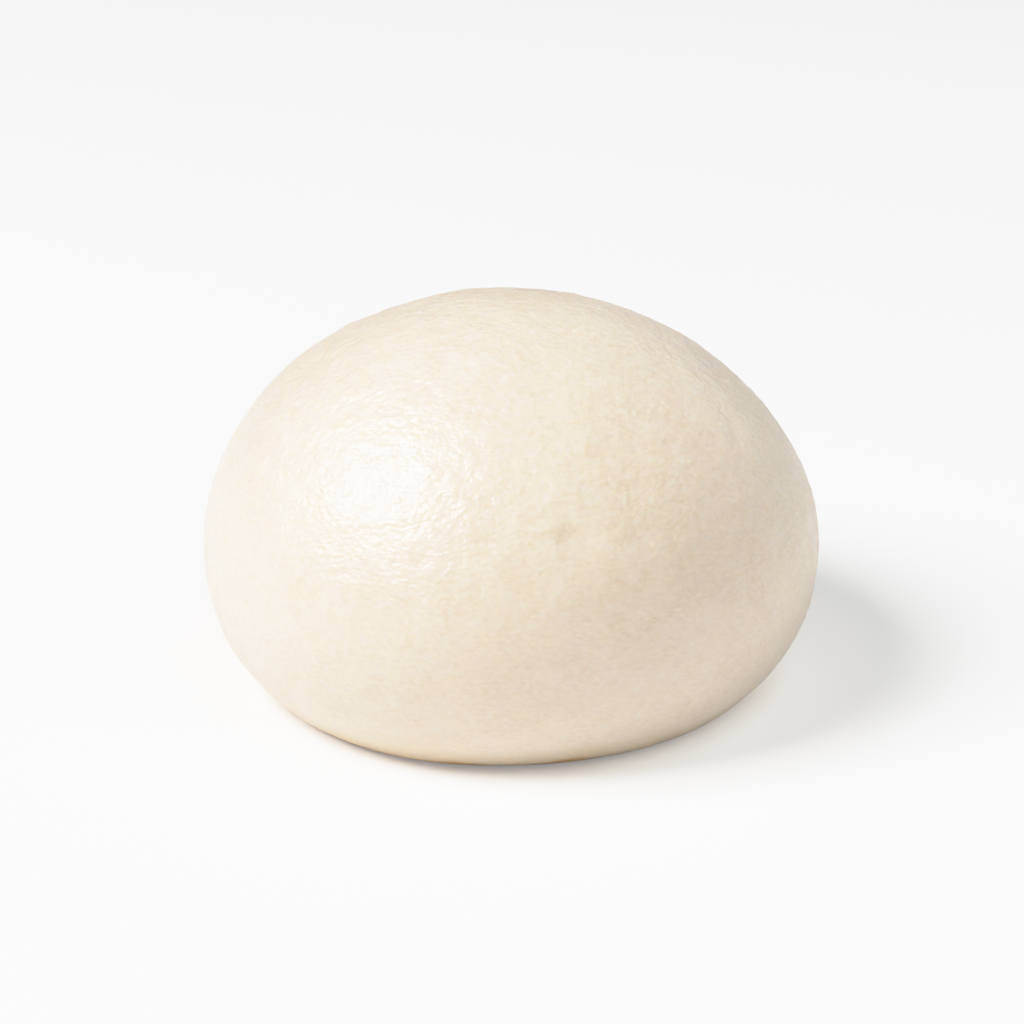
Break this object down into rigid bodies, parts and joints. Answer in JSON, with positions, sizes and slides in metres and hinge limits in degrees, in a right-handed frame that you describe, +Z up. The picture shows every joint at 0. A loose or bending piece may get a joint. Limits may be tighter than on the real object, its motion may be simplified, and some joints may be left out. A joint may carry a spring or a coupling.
{
  "type": "steamed bun",
  "caption": "Plain round steamed bun in one piece: a smooth satin ivory dome with a soft belly that tucks in to a flat foot. It stands on the foot.",
  "frame": {"origin": "centre of the bounding box at its lowest level, in the plane of the flat foot, which is the table", "axes": "+Z up from the flat foot through the crown, -Y towards the front, +X to the right seen from the front"},
  "size_m": [0.095, 0.095, 0.0586],
  "materials": {
    "bun_skin": "steamed dough skin: warm ivory, satin, slightly translucent, finely crinkled"
  },
  "bodies": {
    "root": {"bun": "bun_skin"}
  },
  "joints": []
}
